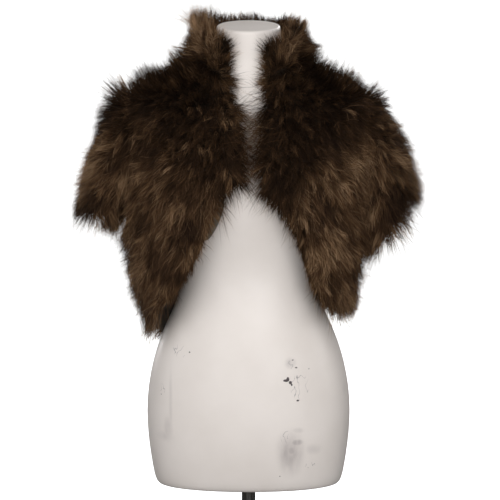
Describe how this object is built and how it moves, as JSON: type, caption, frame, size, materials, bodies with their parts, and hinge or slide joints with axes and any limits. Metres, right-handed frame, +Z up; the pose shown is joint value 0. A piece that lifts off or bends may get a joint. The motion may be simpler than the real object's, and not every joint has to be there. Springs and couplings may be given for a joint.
{
  "type": "fur bolero on limbless dress form",
  "caption": "Cropped open-front fur bolero with short cap sleeves and a stand collar, worn by a limbless torso dress form on a low pole stand.",
  "frame": {"origin": "centre of the flat underside of the stand's base", "axes": "+Z up, -Y towards the garment's front, +X to the right of a viewer who faces the front"},
  "size_m": [0.5595, 0.3153, 1.0217],
  "materials": {
    "fur": "long soft brown fur pile",
    "lining": "grey-green satin",
    "form": "off-white satin",
    "stand": "satin black"
  },
  "bodies": {
    "root": {"back": "fur", "left_front": "fur", "right_front": "fur", "left_sleeve": "fur", "right_sleeve": "fur", "collar": "fur", "lining_strip": "lining", "dress_form": "form", "form_flange": "stand", "stand_pole": "stand", "stand_base": "stand"}
  },
  "joints": []
}
